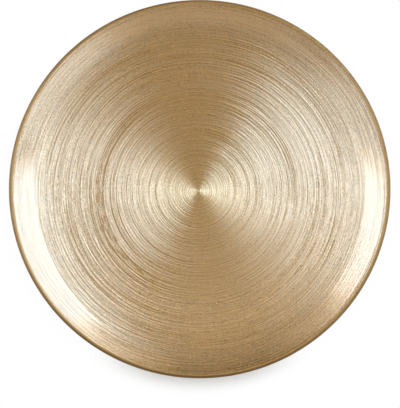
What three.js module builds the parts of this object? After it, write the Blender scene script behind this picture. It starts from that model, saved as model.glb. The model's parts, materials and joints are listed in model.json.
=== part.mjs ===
// A round coupe plate of clear glass, coated on its underside with brushed gold and a protective lacquer,
// with a gilded edge. Millimetres, +Z up. The origin is the middle of the base, on the table.

import * as THREE from 'three';

// Outline of the plate
const PLATE_DIAMETER = 330;
const PLATE_HEIGHT = 20;
const WELL_DIAMETER = 172;
const RIM_WIDTH = 22;
const RIM_SLOPE = THREE.MathUtils.degToRad(24);
const KNUCKLE_LENGTH = 6;

// Thickness of each layer, and the bond line between two of them
const GLASS_THICKNESS = 4;
const GOLD_THICKNESS = 0.25;
const LACQUER_THICKNESS = 0.35;
const GILDING_THICKNESS = 0.25;
const BOND_GAP = 0.05;

// Facets round the plate and along each curve of its section
const TURN_STEPS = 72;
const COVE_STEPS = 6;
const KNUCKLE_STEPS = 3;
const EDGE_STEPS = 8;

const QUARTER_TURN = Math.PI / 2;

// Depths of the layers below the upper face of the glass, measured square to that face
const goldTop = GLASS_THICKNESS + BOND_GAP;
const goldBottom = goldTop + GOLD_THICKNESS;
const lacquerTop = goldBottom + BOND_GAP;
const lacquerBottom = lacquerTop + LACQUER_THICKNESS;

// The section lies in a plane with x as the radius and y as the height above the table.
// The pencil edge of the glass is a half circle, and the gilding hugs it.
const edgeRadius = GLASS_THICKNESS / 2;
const gildingInside = edgeRadius + BOND_GAP;
const gildingOutside = gildingInside + GILDING_THICKNESS;
const edgeCentre = new THREE.Vector2(PLATE_DIAMETER / 2 - gildingOutside, PLATE_HEIGHT - gildingOutside);

// The rim is a straight slope from the knuckle up to the pencil edge
const rimAlong = new THREE.Vector2(Math.cos(RIM_SLOPE), Math.sin(RIM_SLOPE));
const rimUp = new THREE.Vector2(-rimAlong.y, rimAlong.x);
const rimEnd = edgeCentre.clone().addScaledVector(rimUp, edgeRadius);
const knuckle = rimEnd.clone().addScaledVector(rimAlong, -RIM_WIDTH / rimAlong.x);
const rimStart = knuckle.clone().addScaledVector(rimAlong, KNUCKLE_LENGTH / 2);

// The cove is an arc that leaves the flat well level and would reach the knuckle
const wellMiddle = new THREE.Vector2(0, lacquerBottom);
const wellEdge = new THREE.Vector2(WELL_DIAMETER / 2, lacquerBottom);
const coveTurn = 2 * Math.atan2(knuckle.y - wellEdge.y, knuckle.x - wellEdge.x);
const coveRadius = (knuckle.x - wellEdge.x) / Math.sin(coveTurn);
const coveEnd = coveTurn - KNUCKLE_LENGTH / 2 / coveRadius;

function arc(centreX, centreY, radius, startAngle, endAngle) {
  return new THREE.EllipseCurve(centreX, centreY, radius, radius, startAngle, endAngle);
}

// The upper face of the glass in section, from the axis to the pencil edge
function upperFace() {
  const well = new THREE.LineCurve(wellMiddle, wellEdge);
  const cove = arc(wellEdge.x, wellEdge.y + coveRadius, coveRadius, -QUARTER_TURN, coveEnd - QUARTER_TURN);
  const handle = KNUCKLE_LENGTH / 3;
  const coveTop = cove.getPoint(1);
  const bend = new THREE.CubicBezierCurve(
    coveTop,
    coveTop.clone().addScaledVector(cove.getTangent(1), handle),
    rimStart.clone().addScaledVector(rimAlong, -handle),
    rimStart,
  );
  const rim = new THREE.LineCurve(rimStart, rimEnd);
  return [[well, 1], [cove, COVE_STEPS], [bend, KNUCKLE_STEPS], [rim, 1]];
}

// The upper face moved down by a depth, as points from the axis outwards
function faceLine(depth) {
  const points = [wellMiddle.clone().setY(wellMiddle.y - depth)];
  for (const [curve, steps] of upperFace()) {
    for (let step = 1; step <= steps; step += 1) {
      const along = curve.getTangent(step / steps);
      const down = new THREE.Vector2(along.y, -along.x);
      points.push(curve.getPoint(step / steps).addScaledVector(down, depth));
    }
  }
  return points;
}

// The half circle round the pencil edge at a radius, as points from the underside to the upper face
function edgeLine(radius) {
  const start = RIM_SLOPE - QUARTER_TURN;
  const end = RIM_SLOPE + QUARTER_TURN;
  return arc(edgeCentre.x, edgeCentre.y, radius, start, end).getPoints(EDGE_STEPS);
}

// A coat between two depths, which stops a bond line short of the gilding
function coatSection(top, bottom) {
  const upper = faceLine(top);
  const lower = faceLine(bottom);
  for (const line of [upper, lower]) {
    line.at(-1).addScaledVector(rimAlong, -BOND_GAP);
  }
  return [...lower, ...upper.reverse()];
}

function glassSection() {
  const round = edgeLine(edgeRadius).slice(1, -1);
  return [...faceLine(GLASS_THICKNESS), ...round, ...faceLine(0).reverse()];
}

function gildingSection() {
  const outside = edgeLine(gildingOutside);
  const inside = edgeLine(gildingInside).reverse();
  return [...outside, ...inside, outside[0]];
}

function turned(name, section, material) {
  const mesh = new THREE.Mesh(new THREE.LatheGeometry(section, TURN_STEPS), material);
  mesh.name = name;
  return mesh;
}

const clearGlass = new THREE.MeshStandardMaterial({
  color: 0xeef2ea,
  roughness: 0.04,
  metalness: 0,
  transparent: true,
  opacity: 0.25,
});
const brushedGold = new THREE.MeshStandardMaterial({ color: 0xcdb385, roughness: 0.42, metalness: 1 });
const bronzeLacquer = new THREE.MeshStandardMaterial({ color: 0x8f7248, roughness: 0.5, metalness: 0.2 });
const edgeGold = new THREE.MeshStandardMaterial({ color: 0xb58545, roughness: 0.3, metalness: 1 });

const plate = new THREE.Group();
plate.name = 'glass_plate';
plate.add(
  turned('glass_body', glassSection(), clearGlass),
  turned('gold_coat', coatSection(goldTop, goldBottom), brushedGold),
  turned('back_lacquer', coatSection(lacquerTop, lacquerBottom), bronzeLacquer),
  turned('edge_gilding', gildingSection(), edgeGold),
);

// The sections are turned about Y, so the plate is tipped to stand with its axis along Z
plate.rotation.x = QUARTER_TURN;

export default plate;
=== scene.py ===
"""A glass dinner plate: clear slumped glass over a ring-brushed gold coat, with a gilded edge.

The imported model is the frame. Four dressed pieces stand for its four nodes, in the same places.
Lengths are in metres and angles in radians, unless a description says otherwise.
"""

import json
import logging
import math
import random
from collections.abc import Callable, Sequence
from dataclasses import dataclass, field
from enum import Enum

import bpy
from mathutils import Matrix, Vector


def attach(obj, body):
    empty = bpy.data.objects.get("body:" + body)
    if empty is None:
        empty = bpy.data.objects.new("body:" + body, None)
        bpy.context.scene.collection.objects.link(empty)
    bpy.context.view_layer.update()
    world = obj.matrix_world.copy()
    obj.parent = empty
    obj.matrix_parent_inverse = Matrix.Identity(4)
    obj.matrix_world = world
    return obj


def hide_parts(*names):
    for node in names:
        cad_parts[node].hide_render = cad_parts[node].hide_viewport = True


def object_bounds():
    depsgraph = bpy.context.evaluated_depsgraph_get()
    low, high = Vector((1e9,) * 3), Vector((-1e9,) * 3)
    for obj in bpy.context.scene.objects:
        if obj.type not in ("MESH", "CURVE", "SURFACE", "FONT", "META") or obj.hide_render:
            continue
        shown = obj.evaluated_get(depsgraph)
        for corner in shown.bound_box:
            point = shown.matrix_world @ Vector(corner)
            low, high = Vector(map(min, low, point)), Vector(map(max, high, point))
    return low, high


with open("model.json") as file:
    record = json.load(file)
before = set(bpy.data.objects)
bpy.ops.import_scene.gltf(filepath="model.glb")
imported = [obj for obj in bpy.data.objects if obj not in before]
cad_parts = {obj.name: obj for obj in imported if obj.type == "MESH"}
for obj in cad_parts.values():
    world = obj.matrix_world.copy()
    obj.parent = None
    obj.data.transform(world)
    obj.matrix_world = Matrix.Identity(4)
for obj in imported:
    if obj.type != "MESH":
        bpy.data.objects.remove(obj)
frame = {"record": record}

CAD_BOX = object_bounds()
BODY = "root"
MM = 0.001
FULL_TURN = 2 * math.pi
QUARTER_TURN = math.pi / 2
LOG = logging.getLogger("plate")

# Faces that meet at more than this angle keep a sharp edge
SHARP_EDGE = math.radians(40)
# Points nearer to the axis than this lie on it
ON_AXIS = 0.001 * MM

Colour = tuple[float, float, float]
Span = tuple[float, float]
Socket = bpy.types.NodeSocket
Feed = float | Sequence[float] | Socket

WHITE: Colour = (1.0, 1.0, 1.0)
# What a rising and a falling share go from and to
UP: Span = (0.0, 1.0)
DOWN: Span = (1.0, 0.0)
# Stretches of a noise: its flanks, its swells, and the crests and troughs that little of it reaches
FLANKS: Span = (0.38, 0.62)
SWELLS: Span = (0.35, 0.6)
CRESTS: Span = (0.58, 0.66)
TROUGHS: Span = (0.44, 0.36)


class Node(Enum):
    """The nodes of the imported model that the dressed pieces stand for."""

    GLASS = "glass_body"
    GOLD = "gold_coat"
    LACQUER = "back_lacquer"
    GILDING = "edge_gilding"

    @property
    def slot(self) -> str:
        """The material slot that the record gives this node."""
        rows = frame["record"]["subparts"]
        return next(row["material_slot"] for row in rows if row["node"] == self.value)


class Op(Enum):
    """What a Math node works out."""

    ADD = "ADD"
    SUBTRACT = "SUBTRACT"
    MULTIPLY = "MULTIPLY"
    DIVIDE = "DIVIDE"
    POWER = "POWER"
    MINIMUM = "MINIMUM"
    MAXIMUM = "MAXIMUM"
    ABSOLUTE = "ABSOLUTE"
    SINE = "SINE"


class Ease(Enum):
    """How a Map Range node goes from one end to the other."""

    LINEAR = "LINEAR"
    SMOOTH = "SMOOTHSTEP"


@dataclass(frozen=True)
class Wiring:
    """Adds nodes to one node tree and joins them.

    Attributes:
        tree: The node tree of a material, a lamp or the world.
    """

    tree: bpy.types.NodeTree

    @classmethod
    def fresh(cls, holder: bpy.types.Material | bpy.types.World | bpy.types.Light) -> "Wiring":
        """Empties a node tree.

        Args:
            holder: The material, world or lamp that has it.

        Returns:
            Its wiring.
        """
        holder.use_nodes = True
        holder.node_tree.nodes.clear()
        return cls(holder.node_tree)

    def node(
        self, kind: str, feeds: dict[str | int, Feed] | None = None, **settings: object
    ) -> bpy.types.Node:
        """Adds a node.

        Args:
            kind: The node's type, without the word ShaderNode.
            feeds: Sockets by name or place, each with a value or the output that feeds it.
            **settings: The node's own settings.

        Returns:
            The new node.
        """
        made = self.tree.nodes.new("ShaderNode" + kind)
        for name, value in settings.items():
            setattr(made, name, value)
        for socket, feed in (feeds or {}).items():
            self.feed(made.inputs[socket], feed)
        return made

    def feed(self, socket: Socket, feed: Feed) -> None:
        """Sets a socket to a value, or links an output to it.

        Args:
            socket: The input socket.
            feed: A number, a colour, a vector or an output socket.
        """
        if isinstance(feed, Socket):
            self.tree.links.new(feed, socket)
        elif socket.type == "RGBA" and len(feed) == 3:
            socket.default_value = (*feed, 1.0)
        else:
            socket.default_value = feed

    def math(self, op: Op, first: Feed, second: Feed = 0.0) -> Socket:
        """Returns a number worked out from two, of which some arithmetic leaves out the second."""
        return self.node("Math", {0: first, 1: second}, operation=op.value).outputs[0]

    def total(self, *terms: Feed) -> Socket:
        """Adds up any count of numbers.

        Args:
            *terms: The numbers.

        Returns:
            The sum's socket.
        """
        result = terms[0]
        for term in terms[1:]:
            result = self.math(Op.ADD, result, term)
        return result

    def scaled(self, value: Feed, factor: Feed) -> Socket:
        """Returns a number times a factor."""
        return self.math(Op.MULTIPLY, value, factor)

    def crisp(self, noise: Feed, amount: float) -> Socket:
        """Returns a noise with hard sides that swings about zero, by up to half the amount each way."""
        return self.mapped(noise, FLANKS, (-0.5 * amount, 0.5 * amount), Ease.SMOOTH)

    def swing(self, value: Feed, amount: float) -> Socket:
        """Returns a noise that swings about zero, by up to half the amount each way."""
        return self.scaled(self.math(Op.SUBTRACT, value, 0.5), amount)

    def mapped(self, value: Feed, ends: Span, results: Span, ease: Ease = Ease.LINEAR) -> Socket:
        """Maps a number from one range to another, and holds it at the ends.

        Args:
            value: The number.
            ends: The two ends that it comes from.
            results: The two ends that it goes to.
            ease: How it goes between them.

        Returns:
            The result's socket.
        """
        feeds = {
            "Value": value,
            "From Min": ends[0],
            "From Max": ends[1],
            "To Min": results[0],
            "To Max": results[1],
        }
        return self.node("MapRange", feeds, interpolation_type=ease.value).outputs["Result"]

    def vector(self, x: Feed, y: Feed, z: Feed) -> Socket:
        """Returns a vector made of three numbers."""
        return self.node("CombineXYZ", {0: x, 1: y, 2: z}).outputs[0]

    def noise(self, place: Feed, spacing: float, detail: float) -> Socket:
        """Returns a noise from 0 to 1, with a distance between its spots and a count of finer layers."""
        feeds = {"Vector": place, "Scale": 1 / spacing, "Detail": detail}
        return self.node("TexNoise", feeds).outputs[0]

    def bump(self, height: Feed, depth: float) -> Socket:
        """Returns the normal of a face with heights on it, where a height of 1 stands for the depth."""
        return self.node("Bump", {"Height": height, "Distance": depth, "Strength": 1.0}).outputs["Normal"]

    def surface(self, shader: bpy.types.Node) -> None:
        """Makes a shader the material's surface."""
        self.node("OutputMaterial", {"Surface": shader.outputs[0]})

    def blend(self, amount: Feed, first: Feed, second: Feed) -> Socket:
        """Mixes two colours.

        Args:
            amount: 0 for the first, 1 for the second.
            first: The first colour.
            second: The second colour.

        Returns:
            The mixed colour's socket.
        """
        mix = self.node("Mix", data_type="RGBA")
        for socket, feed in ((mix.inputs[0], amount), (mix.inputs[6], first), (mix.inputs[7], second)):
            self.feed(socket, feed)
        return mix.outputs[2]


@dataclass(frozen=True)
class Turntable:
    """Coordinates on a surface that was worked on a turntable.

    Attributes:
        wiring: The node tree that uses them.
        x: Socket of the place across the plate.
        y: Socket of the place along the plate.
        radius: Socket of the distance from the axis.
        outward: Socket of the level direction away from the axis.
        point: Socket of the whole place.
    """

    wiring: Wiring
    x: Socket
    y: Socket
    radius: Socket
    outward: Socket
    point: Socket

    @classmethod
    def on(cls, wiring: Wiring, axis: Span = (0.0, 0.0)) -> "Turntable":
        """Adds the nodes that read the coordinates.

        Args:
            wiring: The node tree to add them to.
            axis: Where the turntable's axis stands, seen from the middle of the plate.

        Returns:
            The coordinates.
        """
        point = wiring.node("TexCoord").outputs["Object"]
        split = wiring.node("SeparateXYZ", {0: point})
        x, y = (wiring.math(Op.SUBTRACT, split.outputs[place], axis[place]) for place in (0, 1))
        outward = wiring.vector(x, y, 0.0)
        radius = wiring.node("VectorMath", {0: outward}, operation="LENGTH").outputs["Value"]
        return cls(wiring, x, y, radius, outward, point)

    def streaks(self, pitch: float, arc: float, detail: float) -> Socket:
        """Adds streaks that follow the turning.

        Args:
            pitch: Width of a streak across the turning.
            arc: Length of a streak along the turning.
            detail: How many finer layers there are.

        Returns:
            The socket of their strength, from 0 to 1.
        """
        lengths = ((self.radius, pitch), (self.x, arc), (self.y, arc))
        place = (self.wiring.scaled(value, 1 / length) for value, length in lengths)
        return self.wiring.noise(self.wiring.vector(*place), 1.0, detail)

    def grooves(self, pitch: float, wander: Feed) -> Socket:
        """Returns even grooves, from -1 to 1, that lie some pitches from their places."""
        count = self.wiring.total(self.wiring.scaled(self.radius, 1 / pitch), wander)
        return self.wiring.math(Op.SINE, self.wiring.scaled(count, FULL_TURN))

    def ring(self, radius: float, half_width: float) -> Socket:
        """Returns one ring, from 0 to 1, that fades over half its width."""
        away = self.wiring.math(Op.ABSOLUTE, self.wiring.math(Op.SUBTRACT, self.radius, radius))
        return self.wiring.mapped(away, (half_width, 0.0), UP, Ease.SMOOTH)

    def aside(self) -> Socket:
        """Returns how far a place lies from the plate's X axis: 0 on it, and 1 square to it."""
        return self.wiring.math(Op.ABSOLUTE, self.wiring.math(Op.DIVIDE, self.y, self.radius))

    def sector(self, bearing: float, half_angle: float) -> Socket:
        """Adds a soft sector about the axis.

        Args:
            bearing: Where its middle lies, in degrees from +X towards +Y.
            half_angle: How far it reaches each way, in degrees, over which it fades.

        Returns:
            The socket of its strength, from 0 to 1.
        """
        turn = math.radians(bearing)
        along = self.wiring.total(
            self.wiring.scaled(self.x, math.cos(turn)), self.wiring.scaled(self.y, math.sin(turn))
        )
        cosine = self.wiring.math(Op.DIVIDE, along, self.radius)
        border = math.cos(math.radians(half_angle))
        return self.wiring.mapped(cosine, (border, 1.0), UP, Ease.SMOOTH)


def new_material(name: str) -> tuple[bpy.types.Material, Wiring]:
    """Returns an empty material and the wiring of its nodes."""
    material = bpy.data.materials.new(name)
    return material, Wiring.fresh(material)


def new_object(name: str, data: bpy.types.ID) -> bpy.types.Object:
    """Makes an object and links it to the scene.

    Args:
        name: The object's name.
        data: The mesh, lamp or camera that it holds.

    Returns:
        The object.
    """
    made = bpy.data.objects.new(name, data)
    bpy.context.scene.collection.objects.link(made)
    return made


def stand_back(made: bpy.types.Object, aim: Vector, right: Vector, back: Vector, distance: float) -> None:
    """Stands a lamp or a camera back from what it is aimed at.

    Args:
        made: The lamp or the camera.
        aim: The point that it is aimed at.
        right: The direction to its right.
        back: The direction from the point to it.
        distance: How far from the point it stands.
    """
    axes = Matrix((right, back.cross(right), back)).transposed().to_4x4()
    made.matrix_world = Matrix.Translation(aim + back * distance) @ axes


@dataclass(frozen=True)
class FacePoint:
    """A point on the upper face of the glass, in section.

    Attributes:
        place: The radius and the height.
        down: The direction square to the face, into the glass.
    """

    place: Vector
    down: Vector

    def sunk(self, depth: float) -> Vector:
        """Returns the point moved into the glass by a depth."""
        return self.place + self.down * depth


@dataclass(frozen=True)
class PlateSection:
    """The turned section of the plate, with x as the radius and y as the height above the table.

    Attributes:
        outer_radius: Radius over the gilded edge.
        height: Height of the gilded edge above the table.
        well_radius: Radius of the flat well.
        rim_width: Width of the sloping rim, from its knuckle to the pencil edge.
        rim_slope: Slope of the rim.
        knuckle_length: Length of the bend between the cove and the rim.
        glass_thickness: Thickness of the glass.
        gold_thickness: Thickness of the gold coat.
        lacquer_thickness: Thickness of the lacquer.
        gilding_thickness: Thickness of the gilding.
        bond_gap: Bond line between two layers.
    """

    outer_radius: float
    height: float
    well_radius: float = 86 * MM
    rim_width: float = 22 * MM
    rim_slope: float = math.radians(24)
    knuckle_length: float = 6 * MM
    glass_thickness: float = 4 * MM
    gold_thickness: float = 0.25 * MM
    lacquer_thickness: float = 0.35 * MM
    gilding_thickness: float = 0.25 * MM
    bond_gap: float = 0.05 * MM

    @property
    def gold_top(self) -> float:
        """Depth of the gold coat's upper face below the upper face of the glass."""
        return self.glass_thickness + self.bond_gap

    @property
    def gold_bottom(self) -> float:
        """Depth of the gold coat's lower face."""
        return self.gold_top + self.gold_thickness

    @property
    def lacquer_top(self) -> float:
        """Depth of the lacquer's upper face."""
        return self.gold_bottom + self.bond_gap

    @property
    def lacquer_bottom(self) -> float:
        """Depth of the lacquer's lower face, which is the height of the well above the table."""
        return self.lacquer_top + self.lacquer_thickness

    @property
    def edge_radius(self) -> float:
        """Radius of the pencil edge."""
        return self.glass_thickness / 2

    @property
    def gilding_inside(self) -> float:
        """Radius of the gilding's inner face about the middle of the pencil edge."""
        return self.edge_radius + self.bond_gap

    @property
    def gilding_outside(self) -> float:
        """Radius of the gilding's outer face about the middle of the pencil edge."""
        return self.gilding_inside + self.gilding_thickness

    @property
    def edge_centre(self) -> Vector:
        """Middle of the pencil edge."""
        return Vector((self.outer_radius - self.gilding_outside, self.height - self.gilding_outside))

    @property
    def rim_along(self) -> Vector:
        """Direction up the slope of the rim."""
        return Vector((math.cos(self.rim_slope), math.sin(self.rim_slope)))

    @property
    def rim_up(self) -> Vector:
        """Direction square to the rim, out of its upper face."""
        return Vector((-math.sin(self.rim_slope), math.cos(self.rim_slope)))

    @property
    def rim_end(self) -> Vector:
        """End of the rim's upper face, where the pencil edge starts."""
        return self.edge_centre + self.rim_up * self.edge_radius

    def stretches(self) -> list[tuple[Callable[[float], tuple[Vector, Vector]], float]]:
        """Gives the upper face as stretches from the axis outwards.

        Returns:
            For each stretch, a function from 0..1 to a point and the direction along it, and its length.
        """
        level = self.lacquer_bottom
        knuckle = self.rim_end - self.rim_along * (self.rim_width / math.cos(self.rim_slope))
        rim_start = knuckle + self.rim_along * (self.knuckle_length / 2)
        cove_turn = 2 * math.atan2(knuckle.y - level, knuckle.x - self.well_radius)
        cove_radius = (knuckle.x - self.well_radius) / math.sin(cove_turn)
        cove_end = cove_turn - self.knuckle_length / 2 / cove_radius
        handle = self.knuckle_length / 3

        def well(share: float) -> tuple[Vector, Vector]:
            """Returns a point of the flat well."""
            return Vector((self.well_radius * share, level)), Vector((1, 0))

        def cove(share: float) -> tuple[Vector, Vector]:
            """Gives a point of the cove, an arc that leaves the well level.

            Args:
                share: How far along the cove it lies.

            Returns:
                The point, and the direction along the cove.
            """
            turn = cove_end * share
            along = Vector((math.cos(turn), math.sin(turn)))
            place = Vector((self.well_radius + cove_radius * along.y, level + cove_radius * (1 - along.x)))
            return place, along

        def bend(share: float) -> tuple[Vector, Vector]:
            """Gives a point of the knuckle, a Bezier curve from the cove to the rim.

            Args:
                share: How far along the knuckle it lies.

            Returns:
                The point, and the direction along the knuckle.
            """
            start, start_along = cove(1.0)
            first, last = start_along * handle, self.rim_along * handle
            points = [start, start + first, rim_start - last, rim_start]
            middle = points[2] - points[1]
            left = 1 - share
            weights = [left**3, 3 * left**2 * share, 3 * left * share**2, share**3]
            place = sum((point * weight for point, weight in zip(points, weights)), Vector((0, 0)))
            along = first * left**2 + middle * (2 * left * share) + last * share**2
            return place, along.normalized()

        def rim(share: float) -> tuple[Vector, Vector]:
            """Returns a point of the straight rim."""
            return rim_start.lerp(self.rim_end, share), self.rim_along

        return [
            (well, self.well_radius),
            (cove, cove_radius * cove_end),
            (bend, self.knuckle_length),
            (rim, (self.rim_end - rim_start).length),
        ]

    def upper_face(self, pitch: float) -> list[FacePoint]:
        """Gives the upper face of the glass as points from the axis outwards.

        Args:
            pitch: The widest step between two points.

        Returns:
            The points.
        """
        points = [FacePoint(Vector((0, self.lacquer_bottom)), Vector((0, -1)))]
        for stretch, length in self.stretches():
            steps = math.ceil(length / pitch)
            for step in range(1, steps + 1):
                place, along = stretch(step / steps)
                points.append(FacePoint(place, Vector((along.y, -along.x))))
        return points

    def edge_arc(self, radius: float, steps: int) -> list[Vector]:
        """Gives the half circle round the pencil edge, from the underside to the upper face.

        Args:
            radius: Its radius about the middle of the pencil edge.
            steps: How many steps it has.

        Returns:
            The points.
        """
        start = self.rim_slope - QUARTER_TURN
        angles = [start + math.pi * step / steps for step in range(steps + 1)]
        arms = (Vector((math.cos(angle), math.sin(angle))) for angle in angles)
        return [self.edge_centre + arm * radius for arm in arms]

    def coat(self, upper: list[Vector], lower: list[Vector]) -> list[Vector]:
        """Gives the section of a coat, which stops a bond line short of the gilding.

        Args:
            upper: Points along its upper face, from the axis outwards.
            lower: Points along its lower face.

        Returns:
            The section's points.
        """
        gap = self.rim_along * self.bond_gap
        upper, lower = ([*line[:-1], line[-1] - gap] for line in (upper, lower))
        return lower + upper[::-1]


def turned(name: str, section_at: Callable[[float], list[Vector]], steps: int) -> bpy.types.Object:
    """Turns a section about the plate's axis into a closed mesh.

    The section runs outwards along the underside and back along the upper side. It starts and ends on the
    axis, or closes on itself.

    Args:
        name: The new object's name.
        section_at: Gives the section's points at an angle, as many at every angle.
        steps: How many steps one turn has.

    Returns:
        The new object, linked to the scene.
    """
    vertices: list[tuple[float, float, float]] = []
    columns: list[list[int]] = []
    for step in range(steps):
        angle = FULL_TURN * step / steps
        column = []
        for place, point in enumerate(section_at(angle)):
            if point.x < ON_AXIS and columns:
                column.append(columns[0][place])
                continue
            column.append(len(vertices))
            vertices.append((point.x * math.cos(angle), point.x * math.sin(angle), point.y))
        columns.append(column)
    on_axis = math.hypot(*vertices[0][:2]) < ON_AXIS
    count = len(columns[0])
    spans = range(count - 1) if on_axis else range(count)
    faces = []
    for step, column in enumerate(columns):
        beside = columns[(step + 1) % steps]
        for low in spans:
            high = (low + 1) % count
            corners = [column[low], beside[low], beside[high], column[high]]
            faces.append(list(dict.fromkeys(corners)))
    mesh = bpy.data.meshes.new(name)
    mesh.from_pydata(vertices, [], faces)
    mesh.shade_smooth()
    mesh.set_sharp_from_angle(angle=SHARP_EDGE)
    mesh.update()
    return new_object(name, mesh)


@dataclass(frozen=True)
class ClearGlass:
    """Clear soda-lime glass, as a thin shell that reflects on its outside and lets the rest through.

    Attributes:
        refraction: Index of refraction, which sets how much it reflects.
        tint: What one pass through the glass leaves of white light.
        polish: Roughness of the fire-polished face.
        wave_spacing: Distance between the slow waves that slumping leaves.
        wave_depth: Depth of those waves.
    """

    refraction: float = 1.5
    tint: Colour = (0.985, 0.992, 0.982)
    polish: float = 0.025
    wave_spacing: float = 35 * MM
    wave_depth: float = 0.012 * MM

    def material(self) -> bpy.types.Material:
        """Makes the glass material.

        Returns:
            The material.
        """
        material, wiring = new_material("clear_glass")
        table = Turntable.on(wiring)
        waves = wiring.noise(table.point, self.wave_spacing, 1.0)
        normal = wiring.bump(waves, self.wave_depth)
        facing = wiring.node("Fresnel", {"IOR": self.refraction, "Normal": normal}).outputs[0]
        inside = wiring.node("NewGeometry").outputs["Backfacing"]
        share = wiring.scaled(facing, wiring.math(Op.SUBTRACT, 1.0, inside))
        through = wiring.node("BsdfTransparent", {"Color": self.tint})
        gloss = wiring.node("BsdfGlossy", {"Color": WHITE, "Roughness": self.polish, "Normal": normal})
        wiring.surface(wiring.node("MixShader", {0: share, 1: through.outputs[0], 2: gloss.outputs[0]}))
        return material


@dataclass(frozen=True)
class BrushRing:
    """A bold ring where the brush dwelt and left the flakes duller.

    Attributes:
        radius: Its radius, as a share of the plate's radius.
        half_width: Half its width.
        depth: How much duller it is.
    """

    radius: float
    half_width: float
    depth: float


@dataclass(frozen=True)
class BrushOrPaintedLightPatch:
    """A stretch of the coat where the brush ran duller or brighter or left more or less pigment, or where
    duller or brighter flakes and darker or lighter pigment are painted shade or painted light.

    Attributes:
        radius: The radius of its middle, as a share of the plate's radius.
        half_width: Half its width, as a share of the plate's radius.
        bearing: Where its middle lies, in degrees from +X towards +Y.
        half_angle: How far it reaches round the plate each way, in degrees.
        dull_or_shaded: How much duller its flakes are, from the brush or as painted shade. Below zero they
            are brighter, from the brush or as painted light.
        thick_or_shaded: How much darker its pigment is, from thicker pigment or as painted shade. Below
            zero it is lighter, from thinner pigment or as painted light.
        broken: Whether it breaks up into short strokes.
    """

    radius: float
    half_width: float
    bearing: float
    half_angle: float
    dull_or_shaded: float = 0.0
    thick_or_shaded: float = 0.0
    broken: bool = False


class Streak(Enum):
    """Kinds of brush streak: width and length, in those of a fine streak, and the count of finer layers."""

    FINE = (1.0, 1, 1.0)
    TICK = (0.9, 6, 0.0)
    DRAWN = (1.4, 12, 0.0)
    HAIR = (1.2, 12, 0.0)
    WORN = (4, 6, 1.0)
    WOBBLE = (6, 8, 0.0)
    SLOW = (9, 30, 1.0)
    DWELLING = (1.6, 80, 0.0)


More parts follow.
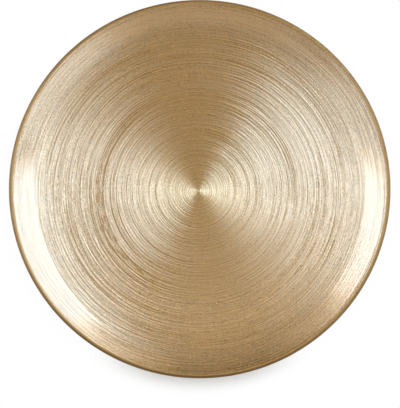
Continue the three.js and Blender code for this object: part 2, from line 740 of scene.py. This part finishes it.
@dataclass(frozen=True)
class BrushedGold:
    """Gold lacquer brushed on a turntable, seen through the glass.

    Attributes:
        plate_radius: Radius of the plate.
        pigment: Colour of the pigment between the flakes.
        painted_light_pigment: Lighter colour of the pigment towards the front of the well, which is painted
            light.
        sheen_tint: Colour of the reflection of the metal flakes.
        inner_tint: Colour of that reflection in the middle of the plate, where the lacquer lies thickest.
        refraction: Index of refraction that gives the flakes their reflection.
        flakes: Share of that reflection in the dullest and in the brightest streaks.
        densest: The largest share of it that the flakes reach anywhere.
        roughness: Roughness of the flakes there, before the brushing stretches it.
        brushing: How much rougher the coat is across the rings than along them.
        stray: How far the lines stray from the turning, as a share of a full turn.
        ground: The flakes' tone between the lines.
        film: How rich the pigment is between the lines.
        streak_pitch: Width of a fine brush streak.
        streak_arc: Length of a fine brush streak.
        streak_depth: Height of the fine streaks.
        flake: Size of a clump of flakes.
        weave: Size of the smaller clumps among those.
        stroke_pitch: Width of the short strokes that a broken patch is made of.
        stroke_arc: Length of those strokes.
        fading: Distance over which a ring fades in and out.
        tones: The dullest and the brightest tone of the flakes.
        axis: Where the turntable's axis stood, seen from the middle of the plate.
        rings: The bold rings where the brush dwelt.
        patches: The stretches where it ran unevenly, and the stretches of painted shade and painted light
            on the well and the rim.
    """

    plate_radius: float
    pigment: Colour = (0.308, 0.158, 0.043)
    painted_light_pigment: Colour = (0.4, 0.226, 0.088)
    sheen_tint: Colour = (1.0, 0.99, 0.96)
    inner_tint: Colour = (1.0, 0.975, 0.84)
    refraction: float = 5.0
    flakes: Span = (0.02, 1.02)
    densest: float = 0.84
    roughness: Span = (0.53, 0.41)
    brushing: float = 0.89
    stray: float = 0.025
    ground: float = 0.77
    film: float = 0.95
    streak_pitch: float = 1.0 * MM
    streak_arc: float = 12 * MM
    streak_depth: float = 0.45 * MM
    flake: float = 0.9 * MM
    weave: float = 0.9 * MM / 1.3
    stroke_pitch: float = 1.9 * MM
    stroke_arc: float = 9 * MM
    fading: float = 45 * MM
    tones: Span = (-0.5, 1.5)
    axis: Span = (-1.2 * MM, -1.6 * MM)
    rings: tuple[BrushRing, ...] = (
        BrushRing(0.26, 1.0 * MM, 0.3),
        BrushRing(0.32, 1.0 * MM, 0.3),
        BrushRing(0.36, 1.1 * MM, 0.25),
        BrushRing(0.49, 1.0 * MM, 0.15),
        BrushRing(0.51, 1.1 * MM, 0.3),
        BrushRing(0.53, 1.0 * MM, 0.25),
        BrushRing(0.69, 1.0 * MM, 0.25),
        BrushRing(0.74, 1.0 * MM, 0.15),
        BrushRing(0.77, 1.1 * MM, 0.3),
        BrushRing(0.98, 1.7 * MM, 0.15),
    )
    patches: tuple[BrushOrPaintedLightPatch, ...] = (
        BrushOrPaintedLightPatch(0.53, 0.045, 146, 40, dull_or_shaded=0.4),
        BrushOrPaintedLightPatch(0.53, 0.06, 215, 50, dull_or_shaded=0.6, broken=True),
        BrushOrPaintedLightPatch(0.59, 0.3, 215, 60, dull_or_shaded=0.35),
        BrushOrPaintedLightPatch(0.66, 0.16, 50, 55, dull_or_shaded=-0.4),
        # Painted light: these three give the lower half of the well a brighter sheen
        BrushOrPaintedLightPatch(0.3, 0.3, 245, 45, dull_or_shaded=-0.15),
        BrushOrPaintedLightPatch(0.35, 0.35, 310, 60, dull_or_shaded=-0.15),
        BrushOrPaintedLightPatch(0.15, 0.15, 330, 60, dull_or_shaded=-0.2),
        BrushOrPaintedLightPatch(0.38, 0.2, 35, 34, dull_or_shaded=-0.25),
        # Painted highlight: a brighter sheen just inside the left rim carries the lamp's reflection inwards
        BrushOrPaintedLightPatch(0.85, 0.06, 215, 60, dull_or_shaded=-0.35),
        # Painted shade: duller flakes and darker pigment make the front rim darker
        BrushOrPaintedLightPatch(1.0, 0.2, 276, 45, dull_or_shaded=0.7, thick_or_shaded=0.32),
        # Painted light: a brighter sheen and lighter pigment make the back rim lighter
        BrushOrPaintedLightPatch(0.94, 0.08, 86, 72, dull_or_shaded=-0.65, thick_or_shaded=-0.25),
        # Painted shade: duller flakes tone down the lamp's reflection on the left rim
        BrushOrPaintedLightPatch(0.94, 0.1, 200, 50, dull_or_shaded=0.4),
        BrushOrPaintedLightPatch(0.88, 0.03, 205, 55, dull_or_shaded=0.35),
        # Painted light: these two carry the lamps' reflections further round the rim, with a brighter sheen
        # and lighter pigment
        BrushOrPaintedLightPatch(0.95, 0.1, 245, 22, dull_or_shaded=-0.2, thick_or_shaded=-0.35),
        BrushOrPaintedLightPatch(0.93, 0.12, 314, 22, dull_or_shaded=-0.2, thick_or_shaded=-0.2),
        # Painted shade: these two dull the flakes on the right rim, which tones down the lamp's reflection
        # there
        BrushOrPaintedLightPatch(0.93, 0.1, 35, 30, dull_or_shaded=0.1),
        BrushOrPaintedLightPatch(0.89, 0.07, 330, 32, dull_or_shaded=0.22),
    )

    def streaks(self, table: Turntable) -> dict[Streak, Socket]:
        """Adds every kind of brush streak.

        Args:
            table: Coordinates on the coat.

        Returns:
            The sockets of their strength, from 0 to 1.
        """
        made: dict[Streak, Socket] = {}
        for kind in Streak:
            pitch, arc, detail = kind.value
            made[kind] = table.streaks(pitch * self.streak_pitch, arc * self.streak_arc, detail)
        return made

    def across(self, table: Turntable, shares: Span, results: Span, ease: Ease = Ease.LINEAR) -> Socket:
        """Returns a number that goes from one result to the other between two shares of the radius."""
        inner, outer = (share * self.plate_radius for share in shares)
        return table.wiring.mapped(table.radius, (inner, outer), results, ease)

    def uneven_coat_and_painted_light(self, table: Turntable, dwelling: Socket) -> tuple[Socket, Socket]:
        """Adds the rings and patches that the brush left, and the patches of painted shade and painted
        light.

        Args:
            table: Coordinates on the coat.
            dwelling: Streaks that hardly change round the plate, which give the faint rings.

        Returns:
            The sockets of how much duller they leave the flakes and how much darker the pigment, from the
            brush and from painted shade and painted light.
        """
        wiring, size = table.wiring, self.plate_radius
        fading = wiring.mapped(wiring.noise(table.point, self.fading, 1.0), SWELLS, UP)
        on_rim = self.across(table, (0.86, 0.88), UP)
        rings = wiring.total(
            wiring.mapped(dwelling, CRESTS, (0.0, 0.12)),
            wiring.scaled(wiring.mapped(dwelling, TROUGHS, (0.0, -0.15)), on_rim),
        )
        for ring in self.rings:
            band = table.ring(ring.radius * size, ring.half_width)
            rings = wiring.total(rings, wiring.scaled(band, ring.depth))
        strokes = wiring.mapped(table.streaks(self.stroke_pitch, self.stroke_arc, 1.0), (0.45, 0.6), UP)
        dull_or_shaded, thick_or_shaded = wiring.scaled(rings, fading), 0.0
        for patch in self.patches:
            band = table.ring(patch.radius * size, patch.half_width * size)
            strength = wiring.scaled(band, table.sector(patch.bearing, patch.half_angle))
            if patch.broken:
                strength = wiring.scaled(strength, strokes)
            dull_or_shaded = wiring.total(dull_or_shaded, wiring.scaled(strength, patch.dull_or_shaded))
            thick_or_shaded = wiring.total(thick_or_shaded, wiring.scaled(strength, patch.thick_or_shaded))
        return dull_or_shaded, thick_or_shaded

    def lines(self, wiring: Wiring, streaks: dict[Streak, Socket]) -> Socket:
        """Adds thin dark lines, in groups.

        Args:
            wiring: The coat's wiring.
            streaks: The brush streaks.

        Returns:
            The socket of how dark they are.
        """
        dark = wiring.total(
            wiring.mapped(streaks[Streak.TICK], (0.46, 0.62), (0.0, 0.4), Ease.SMOOTH),
            wiring.mapped(streaks[Streak.DRAWN], CRESTS, (0.0, 0.35), Ease.SMOOTH),
            wiring.mapped(streaks[Streak.HAIR], CRESTS, (0.0, 0.4), Ease.SMOOTH),
        )
        groups = wiring.mapped(streaks[Streak.SLOW], SWELLS, (0.7, 1.0), Ease.SMOOTH)
        return wiring.scaled(dark, groups)

    def grooves(self, table: Turntable, streaks: dict[Streak, Socket]) -> Socket:
        """Adds two sets of even grooves, which wander apart and are worn away in places.

        Args:
            table: Coordinates on the coat.
            streaks: The brush streaks.

        Returns:
            The socket of their height.
        """
        wiring, wobble = table.wiring, streaks[Streak.WOBBLE]
        both = wiring.total(
            wiring.scaled(table.grooves(2.0 * self.streak_pitch, wiring.swing(wobble, 2.0)), 0.6),
            wiring.scaled(table.grooves(2.6 * self.streak_pitch, wiring.swing(wobble, -1.6)), 0.4),
        )
        leaning = wiring.mapped(table.aside(), (0.2, 0.6), (0.28, 0.65), Ease.SMOOTH)
        worn = wiring.mapped(streaks[Streak.WORN], SWELLS, (0.25, 1.0))
        return wiring.scaled(wiring.scaled(both, leaning), worn)

    def colour(self, table: Turntable, film: Socket, level: Socket) -> Socket:
        """Adds the colour of the pigment, made up for the light that the flakes reflect above it, with
        painted light that makes it lighter towards the front of the well.

        Args:
            table: Coordinates on the coat.
            film: How rich the pigment is.
            level: The share of the flakes' reflection.

        Returns:
            The colour's socket.
        """
        wiring = table.wiring
        full = 2 * ((self.refraction - 1) / (self.refraction + 1)) ** 2
        between = wiring.math(Op.SUBTRACT, 1.0, wiring.scaled(level, full))
        # Painted light: the pigment turns lighter towards the front of the well
        front = wiring.mapped(table.y, (0.2 * self.plate_radius, -0.6 * self.plate_radius), UP)
        in_well = self.across(table, (0.72, 0.87), DOWN)
        pigment = wiring.blend(wiring.scaled(front, in_well), self.pigment, self.painted_light_pigment)
        feeds = {0: pigment, "Scale": wiring.math(Op.DIVIDE, film, between)}
        return wiring.node("VectorMath", feeds, operation="SCALE").outputs[0]

    def material(self) -> bpy.types.Material:
        """Makes the brushed gold material.

        Returns:
            The material.
        """
        material, wiring = new_material("brushed_gold")
        table = Turntable.on(wiring, self.axis)
        streaks = self.streaks(table)
        grain = wiring.noise(table.point, self.flake, 0.0)
        weave = wiring.noise(table.point, self.weave, 0.0)
        start = self.across(table, (0.0, 0.12), (0.2, 1.0), Ease.SMOOTH)
        press = wiring.scaled(start, self.across(table, (0.8, 0.88), (1.0, 0.6), Ease.SMOOTH))
        lines = wiring.scaled(self.lines(wiring, streaks), press)
        grooves = wiring.scaled(self.grooves(table, streaks), press)
        combing = wiring.mapped(table.aside(), (0.15, 0.55), (1.0, 0.3), Ease.SMOOTH)
        combs = wiring.scaled(wiring.crisp(streaks[Streak.FINE], 0.4), wiring.scaled(combing, press))
        dull_or_shaded, thick_or_shaded = self.uneven_coat_and_painted_light(table, streaks[Streak.DWELLING])
        bright = wiring.total(
            self.ground,
            combs,
            grooves,
            wiring.swing(streaks[Streak.SLOW], 0.08),
            wiring.swing(grain, 1.0),
            wiring.swing(weave, 0.9),
        )
        tone = wiring.math(Op.SUBTRACT, bright, wiring.total(lines, dull_or_shaded))
        level = wiring.math(Op.MINIMUM, wiring.mapped(tone, self.tones, self.flakes), self.densest)
        film = wiring.total(
            self.film,
            wiring.scaled(lines, 0.12),
            wiring.scaled(dull_or_shaded, 0.1),
            wiring.swing(grain, -0.2),
            wiring.swing(weave, 1.8),
        )
        film = wiring.math(Op.SUBTRACT, film, wiring.total(thick_or_shaded, wiring.scaled(combs, 0.3)))
        middle = self.across(table, (0.06, 0.4), DOWN)
        height = wiring.total(streaks[Streak.FINE], streaks[Streak.DRAWN], wiring.scaled(dull_or_shaded, -0.3))
        feeds = {
            "Base Color": self.colour(table, film, level),
            "Roughness": wiring.mapped(tone, self.tones, self.roughness),
            "IOR": self.refraction,
            "Specular IOR Level": level,
            "Specular Tint": wiring.blend(middle, self.sheen_tint, self.inner_tint),
            "Anisotropic": self.brushing,
            "Anisotropic Rotation": wiring.crisp(streaks[Streak.TICK], self.stray),
            "Tangent": table.outward,
            "Normal": wiring.bump(height, self.streak_depth),
        }
        wiring.surface(wiring.node("BsdfPrincipled", feeds))
        return material


@dataclass(frozen=True)
class BackLacquer:
    """Satin bronze-gold lacquer, sprayed over the gold to protect it.

    Attributes:
        thin: Colour where the spray is thin.
        full: Colour where the spray is full.
        roughness: Roughness where the spray is thin and where it is full.
        metallic: Share of metal in it.
        cloud_spacing: Distance between the clouds of the spray.
        sweep_pitch: Width of a sweep of the spray round the plate.
        sweep_arc: Length of a sweep.
        peel_spacing: Distance between the dimples that spraying leaves.
        peel_depth: Depth of the dimples.
    """

    thin: Colour = (0.34, 0.235, 0.105)
    full: Colour = (0.27, 0.175, 0.07)
    roughness: Span = (0.4, 0.52)
    metallic: float = 0.25
    cloud_spacing: float = 60 * MM
    sweep_pitch: float = 6 * MM
    sweep_arc: float = 120 * MM
    peel_spacing: float = 1.6 * MM
    peel_depth: float = 0.05 * MM

    def material(self) -> bpy.types.Material:
        """Makes the back lacquer material.

        Returns:
            The material.
        """
        material, wiring = new_material("back_lacquer")
        table = Turntable.on(wiring)
        peel = wiring.noise(table.point, self.peel_spacing, 1.0)
        clouds = wiring.noise(table.point, self.cloud_spacing, 2.0)
        sweep = table.streaks(self.sweep_pitch, self.sweep_arc, 1.0)
        tone = wiring.total(
            0.5,
            wiring.swing(clouds, 1.0),
            wiring.swing(sweep, 0.8),
            wiring.swing(peel, 0.3),
        )
        feeds = {
            "Base Color": wiring.blend(wiring.mapped(tone, (0.1, 0.9), UP), self.thin, self.full),
            "Roughness": wiring.mapped(tone, UP, self.roughness),
            "Metallic": self.metallic,
            "Normal": wiring.bump(peel, self.peel_depth),
        }
        wiring.surface(wiring.node("BsdfPrincipled", feeds))
        return material


@dataclass(frozen=True)
class EdgeGold:
    """Deep gold, banded on the edge by hand as the plate turned, and thinner towards its border.

    Attributes:
        plate_radius: Radius of the plate.
        deep: Colour where the band has its full thickness.
        pale: Colour where it is thin.
        fade: Radii over which it grows from thin to thick, as shares of the plate's radius.
        refraction: Index of refraction that gives the gold its reflection.
        flakes: Share of that reflection.
        sheen_tint: Colour of that reflection.
        roughness: Roughness where the band has its full thickness and where it is thin, before brushing
            stretches it.
        brushing: How much rougher it is across the edge than along it.
        stroke_pitch: Width of a brush stroke along the edge.
        stroke_arc: Length of a brush stroke.
        stroke_depth: Height of a brush stroke.
        flake: Size of a clump of flakes.
    """

    plate_radius: float
    deep: Colour = (0.15, 0.073, 0.018)
    pale: Colour = (0.4, 0.24, 0.09)
    fade: Span = (0.983, 0.992)
    refraction: float = 5.0
    flakes: float = 0.15
    sheen_tint: Colour = (1.0, 0.78, 0.45)
    roughness: Span = (0.49, 0.41)
    brushing: float = 0.8
    stroke_pitch: float = 0.6 * MM
    stroke_arc: float = 18 * MM
    stroke_depth: float = 0.04 * MM
    flake: float = 0.5 * MM

    def material(self) -> bpy.types.Material:
        """Makes the edge gold material.

        Returns:
            The material.
        """
        material, wiring = new_material("edge_gold")
        table = Turntable.on(wiring)
        strokes = table.streaks(self.stroke_pitch, self.stroke_arc, 2.0)
        grain = wiring.noise(table.point, self.flake, 1.0)
        inner, outer = (share * self.plate_radius for share in self.fade)
        thin = wiring.mapped(table.radius, (inner, outer), DOWN, Ease.SMOOTH)
        tone = wiring.total(thin, wiring.swing(strokes, 0.8), wiring.swing(grain, 0.4))
        feeds = {
            "Base Color": wiring.blend(wiring.mapped(tone, UP, UP), self.deep, self.pale),
            "Roughness": wiring.mapped(tone, UP, self.roughness),
            "IOR": self.refraction,
            "Specular IOR Level": self.flakes,
            "Specular Tint": self.sheen_tint,
            "Anisotropic": self.brushing,
            "Tangent": table.outward,
            "Normal": wiring.bump(strokes, self.stroke_depth),
        }
        wiring.surface(wiring.node("BsdfPrincipled", feeds))
        return material


@dataclass
class PlatePart:
    """A turned piece of the plate that stands for one node of the frame.

    Attributes:
        section: The section of the whole plate.
        node: The node that it stands for.
        steps: How many steps one turn of its mesh has.
    """

    section: PlateSection
    node: Node
    steps: int

    def outline(self, angle: float) -> list[Vector]:
        """Returns the points of the piece's section at an angle about the axis."""
        raise NotImplementedError

    def finish(self) -> bpy.types.Material:
        """Returns the piece's material."""
        raise NotImplementedError

    def build(self) -> bpy.types.Object:
        """Returns the piece's object, before it is dressed."""
        return turned("dressed_" + self.node.value, self.outline, self.steps)

    def dress(self, piece: bpy.types.Object) -> None:
        """Gives the piece its finish and its place in the frame.

        Args:
            piece: The object that build made.
        """
        piece.data.materials.append(self.finish())
        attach(piece, BODY)
        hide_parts(self.node.value)


@dataclass
class GlassShell(PlatePart):
    """The clear glass, slumped into a flat well, a long cove and a steeper rim with a pencil edge.

    Attributes:
        pitch: The widest step along its section.
        edge_steps: Steps round its pencil edge.
    """

    node: Node = Node.GLASS
    steps: int = 288
    pitch: float = 3 * MM
    edge_steps: int = 16

    def outline(self, angle: float) -> list[Vector]:
        """Gives the section of the glass.

        Args:
            angle: The angle about the axis, which makes no difference here.

        Returns:
            The section's points.
        """
        face = self.section.upper_face(self.pitch)
        under = [point.sunk(self.section.glass_thickness) for point in face]
        edge = self.section.edge_arc(self.section.edge_radius, self.edge_steps)[1:-1]
        return under + edge + [point.place for point in reversed(face)]

    def finish(self) -> bpy.types.Material:
        """Returns clear glass."""
        return ClearGlass().material()


@dataclass
class GoldCoat(PlatePart):
    """The gold coat under the glass, with the ridges that the brush left as the plate turned.

    Attributes:
        ridge_pitch: Distance between two ridges.
        ridge_depth: The deepest that the brush cut between them.
        under_pitch: The widest step along its smooth underside.
        seed: Seed of the ridges' depths.
        ridges: Depth of the brushing at each point of the upper face.
    """

    node: Node = Node.GOLD
    steps: int = 288
    ridge_pitch: float = 0.9 * MM
    ridge_depth: float = 0.06 * MM
    under_pitch: float = 6 * MM
    seed: int = 7
    ridges: list[float] = field(init=False)

    def __post_init__(self) -> None:
        """Draws the ridges' depths."""
        draw = random.Random(self.seed)
        count = len(self.section.upper_face(self.ridge_pitch))
        self.ridges = [draw.uniform(0.0, self.ridge_depth) for _ in range(count)]

    def outline(self, angle: float) -> list[Vector]:
        """Gives the section of the coat, brushed above and smooth below.

        Args:
            angle: The angle about the axis, which makes no difference here.

        Returns:
            The section's points.
        """
        top, bottom = self.section.gold_top, self.section.gold_bottom
        brushed = self.section.upper_face(self.ridge_pitch)
        upper = [point.sunk(top + depth) for point, depth in zip(brushed, self.ridges)]
        lower = [point.sunk(bottom) for point in self.section.upper_face(self.under_pitch)]
        return self.section.coat(upper, lower)

    def finish(self) -> bpy.types.Material:
        """Returns brushed gold."""
        return BrushedGold(self.section.outer_radius).material()


@dataclass
class LacquerCoat(PlatePart):
    """The protective lacquer over the gold, which stands on the table.

    Attributes:
        pitch: The widest step along its section.
    """

    node: Node = Node.LACQUER
    steps: int = 288
    pitch: float = 3 * MM

    def outline(self, angle: float) -> list[Vector]:
        """Gives the section of the lacquer.

        Args:
            angle: The angle about the axis, which makes no difference here.

        Returns:
            The section's points.
        """
        face = self.section.upper_face(self.pitch)
        upper = [point.sunk(self.section.lacquer_top) for point in face]
        lower = [point.sunk(self.section.lacquer_bottom) for point in face]
        return self.section.coat(upper, lower)

    def finish(self) -> bpy.types.Material:
        """Returns back lacquer."""
        return BackLacquer().material()


@dataclass
class EdgeGilding(PlatePart):
    """The gilded band round the pencil edge, whose inner border wanders as a hand-laid line does.

    Attributes:
        arc_steps: Steps round the pencil edge.
        border: How far the band reaches onto the rim, on average.
        wander: How far its border wanders each way.
        waves: How many times the border wanders in and out in one turn, for each wave in it.
        border_film: Thickness of the band at its border.
        taper: Shares of the way to the border at which the band thins.
    """

    node: Node = Node.GILDING
    steps: int = 720
    arc_steps: int = 16
    border: float = 0.2 * MM
    wander: float = 0.15 * MM
    waves: tuple[int, ...] = (5, 13, 31, 67)
    border_film: float = 0.02 * MM
    taper: tuple[float, ...] = (0.35, 0.7)

    def reach(self, angle: float) -> float:
        """Gives how far the band reaches onto the rim.

        Args:
            angle: The angle about the axis.

        Returns:
            The reach.
        """
        swings = [math.sin(count * angle + place) / (place + 1) for place, count in enumerate(self.waves)]
        largest = sum(1 / (place + 1) for place in range(len(swings)))
        return self.border + self.wander * sum(swings) / largest

    def outline(self, angle: float) -> list[Vector]:
        """Gives the section of the band.

        Args:
            angle: The angle about the axis.

        Returns:
            The section's points.
        """
        section = self.section
        outside = section.edge_arc(section.gilding_outside, self.arc_steps)
        inside = section.edge_arc(section.gilding_inside, self.arc_steps)
        back = -section.rim_along * self.reach(angle)
        taper = [outside[-1].lerp(inside[-1], share) + back * share for share in self.taper]
        lip_inside = inside[-1] + back
        lip_outside = lip_inside + section.rim_up * self.border_film
        return outside + taper + [lip_outside, lip_inside] + inside[::-1]

    def finish(self) -> bpy.types.Material:
        """Returns edge gold."""
        return EdgeGold(self.section.outer_radius).material()

    def dress(self, piece: bpy.types.Object) -> None:
        """Dresses the band, with no shadow on the coat, where the glass would bend light round it."""
        super().dress(piece)
        piece.visible_shadow = False


@dataclass(frozen=True)
class Softbox:
    """A rectangular softbox aimed at the plate.

    Attributes:
        name: Its name.
        azimuth: Where it stands, in degrees from +X towards +Y.
        polar: How far from overhead it stands, in degrees.
        half_width: Half its width for each metre of distance.
        half_height: Half its height for each metre of distance.
        roll: How far it is rolled about its own axis, in degrees.
        radiance: How bright its middle is, where white paper in plain light is 1.
        feather: Share of each half over which it fades out towards its sides.
        core: Colour of its bright middle.
        sides: Colour of its dim sides.
        distance: How far away it stands.
    """

    name: str
    azimuth: float
    polar: float
    half_width: float
    half_height: float
    roll: float
    radiance: float
    feather: float = 0.4
    core: Colour = (0.97, 1.0, 1.0)
    sides: Colour = (1.0, 0.7, 0.38)
    distance: float = 3.0

    def build(self, aim: Vector) -> None:
        """Makes the lamp.

        Args:
            aim: The point that it is aimed at.
        """
        turn, tip, roll = (math.radians(angle) for angle in (self.azimuth, self.polar, self.roll))
        towards = Vector((math.sin(tip) * math.cos(turn), math.sin(tip) * math.sin(turn), math.cos(tip)))
        across = Vector((-math.sin(turn), math.cos(turn), 0))
        up = towards.cross(across)
        side = across * math.cos(roll) + up * math.sin(roll)
        lamp = bpy.data.lights.new(self.name, "AREA")
        lamp.shape = "RECTANGLE"
        lamp.size = 2 * self.half_width * self.distance
        lamp.size_y = 2 * self.half_height * self.distance
        lamp.energy = math.pi * self.radiance * lamp.size * lamp.size_y
        self.soften(lamp)
        made = new_object(self.name, lamp)
        stand_back(made, aim, side, towards, self.distance)
        made.visible_camera = False

    def soften(self, lamp: bpy.types.AreaLight) -> None:
        """Fades the lamp out towards its sides, as the cloth of a softbox does.

        Args:
            lamp: The lamp.
        """
        wiring = Wiring.fresh(lamp)
        place = wiring.node("SeparateXYZ", {0: wiring.node("NewGeometry").outputs["Parametric"]})
        strength: Feed = 1.0
        for across in place.outputs[:2]:
            away = wiring.math(Op.ABSOLUTE, wiring.math(Op.SUBTRACT, across, 0.5))
            fade = wiring.mapped(away, (0.5, 0.5 - self.feather / 2), UP, Ease.SMOOTH)
            strength = wiring.scaled(fade, strength)
        colour = wiring.blend(strength, self.sides, self.core)
        glow = wiring.node("Emission", {"Color": colour, "Strength": strength})
        wiring.node("OutputLight", {"Surface": glow.outputs[0]})


@dataclass
class Studio:
    """The pale floor, the softboxes, the dim ceiling and the camera.

    Attributes:
        section: The section of the plate that stands in it.
        softboxes: The lamps.
        ceiling: Light from straight above, where the room is dark.
        horizon: Light from the pale walls, low all round.
        wall_heights: Sines of the heights at which the walls' light ends and is full.
        wall_falloff: Power by which it falls off between them.
        floor_colour: Colour of the floor.
        floor_glow: Share of the floor's white near the plate that comes from the backdrop.
        shadow_reach: How far the plate's shadow shows on the floor, in radii of the plate.
        shadow_sector: Where it shows most, and how far each way, in degrees from +X towards +Y.
        shadow_elsewhere: Share of it that shows all round.
        shadow_under: Where the full shadow under the plate gives way to that, in radii of the plate.
        floor_half: Half the floor's side.
        floor_drop: How far the floor lies below the base, so that the two faces don't share a plane.
        frame_pixels: The picture's width and height.
        plate_middle: The middle of the plate's edge in the picture, in pixels.
        plate_pixels: The plate's width in the picture, in pixels.
        elevation: The camera's height above the horizon, in degrees.
        distance: The camera's distance.
    """

    section: PlateSection
    softboxes: tuple[Softbox, ...] = (
        Softbox("right_softbox", 30, 47, 0.72, 0.17, -9, 9.2, core=(0.87, 1.0, 1.06)),
        Softbox("left_softbox", 157, 48, 0.4, 0.175, 9, 7.8),
        Softbox("left_fill", 194, 54, 0.33, 0.26, 0, 2.9),
        Softbox("right_fill", 331, 49, 0.36, 0.41, 0, 1.6),
    )
    ceiling: float = 0.05
    horizon: float = 0.8
    wall_heights: Span = (0.5, 0.1)
    wall_falloff: float = 2.0
    floor_colour: Colour = (0.94, 0.94, 0.94)
    floor_glow: float = 0.4
    shadow_reach: float = 1.1
    shadow_sector: Span = (270, 35)
    shadow_elsewhere: float = 0.05
    shadow_under: Span = (0.9, 0.98)
    floor_half: float = 60.0
    floor_drop: float = 0.2 * MM
    frame_pixels: tuple[int, int] = (400, 408)
    plate_middle: Span = (199.7, 189.2)
    plate_pixels: float = 381.6
    elevation: float = 83.0
    distance: float = 1.5

    def build(self) -> None:
        """Makes the whole studio."""
        self.build_floor()
        self.build_world()
        for softbox in self.softboxes:
            softbox.build(Vector((0, 0, self.section.height / 2)))
        self.build_camera()

    def floor_material(self) -> bpy.types.Material:
        """Makes pale paper, white to the camera and to reflections, which keeps the plate's shadow.

        Returns:
            The material.
        """
        material, wiring = new_material("pale_floor")
        table = Turntable.on(wiring)
        path = wiring.node("LightPath")
        seen = path.outputs["Is Camera Ray"]
        for ray in ("Is Glossy Ray", "Is Transmission Ray"):
            seen = wiring.math(Op.MAXIMUM, seen, path.outputs[ray])
        size = self.section.outer_radius
        reach = (size, self.shadow_reach * size)
        near = wiring.mapped(table.radius, reach, (1.0 - self.floor_glow, 0.0), Ease.SMOOTH)
        ahead = wiring.mapped(table.sector(*self.shadow_sector), UP, (self.shadow_elsewhere, 1.0))
        inner, outer = (share * size for share in self.shadow_under)
        shaded = wiring.math(Op.MAXIMUM, ahead, wiring.mapped(table.radius, (inner, outer), DOWN))
        glow = wiring.math(Op.SUBTRACT, 1.0, wiring.scaled(near, shaded))
        paper = wiring.node("BsdfDiffuse", {"Color": self.floor_colour})
        white = wiring.node("Emission", {"Color": WHITE, "Strength": 1.0})
        feeds = {0: wiring.scaled(glow, seen), 1: paper.outputs[0], 2: white.outputs[0]}
        wiring.surface(wiring.node("MixShader", feeds))
        return material

    def build_floor(self) -> None:
        """Makes the floor, which is stage and not part of the plate."""
        half, level = self.floor_half, -self.floor_drop
        corners = [(-half, -half, level), (half, -half, level), (half, half, level), (-half, half, level)]
        mesh = bpy.data.meshes.new("studio_floor")
        mesh.from_pydata(corners, [], [(0, 1, 2, 3)])
        mesh.materials.append(self.floor_material())
        floor = new_object("studio_floor", mesh)

    def build_world(self) -> None:
        """Makes the light of the room: pale walls low all round, and a dim ceiling."""
        world = bpy.data.worlds.new("studio_room")
        wiring = Wiring.fresh(world)
        direction = wiring.node("TexCoord").outputs["Generated"]
        height = wiring.node("SeparateXYZ", {0: direction}).outputs[2]
        wall = wiring.math(Op.POWER, wiring.mapped(height, self.wall_heights, UP), self.wall_falloff)
        strength = wiring.mapped(wall, UP, (self.ceiling, self.horizon))
        background = wiring.node("Background", {"Color": WHITE, "Strength": strength})
        wiring.node("OutputWorld", {"Surface": background.outputs[0]})
        bpy.context.scene.world = world

    def build_camera(self) -> None:
        """Makes the camera, which frames the plate as the photograph does.

        Perspective draws the near half of the plate larger, so the middle of its outline lies lower in the
        picture than the middle of the plate.
        """
        tilt = math.radians(self.elevation)
        back = Vector((0, -math.cos(tilt), math.sin(tilt)))
        right = Vector((1, 0, 0))
        up = back.cross(right)
        pixel = 2 * self.section.outer_radius / self.plate_pixels
        off_right = (self.plate_middle[0] - self.frame_pixels[0] / 2) * pixel
        off_up = (self.frame_pixels[1] / 2 - self.plate_middle[1]) * pixel
        off_up += self.section.outer_radius**2 * math.sin(tilt) * math.cos(tilt) / self.distance
        plate_middle = Vector((0, 0, self.section.edge_centre.y))
        aim = plate_middle - right * off_right - up * off_up
        data = bpy.data.cameras.new("studio_camera")
        data.lens = data.sensor_width * self.distance / (max(self.frame_pixels) * pixel)
        camera = new_object("studio_camera", data)
        stand_back(camera, aim, right, back, self.distance)
        bpy.context.scene.camera = camera


def main() -> None:
    """Builds the plate's pieces and the studio."""
    logging.basicConfig(level=logging.INFO, format="%(name)s: %(message)s")
    bpy.context.scene.view_settings.view_transform = "Standard"
    section = PlateSection(outer_radius=CAD_BOX[1].x, height=CAD_BOX[1].z)
    Studio(section).build()
    for part in (GlassShell(section), GoldCoat(section), LacquerCoat(section), EdgeGilding(section)):
        piece = part.build()
        part.dress(piece)
        LOG.info("%s stands for %s with %d faces", piece.name, part.node.value, len(piece.data.polygons))
    bpy.context.view_layer.update()


if __name__ == "__main__":
    main()
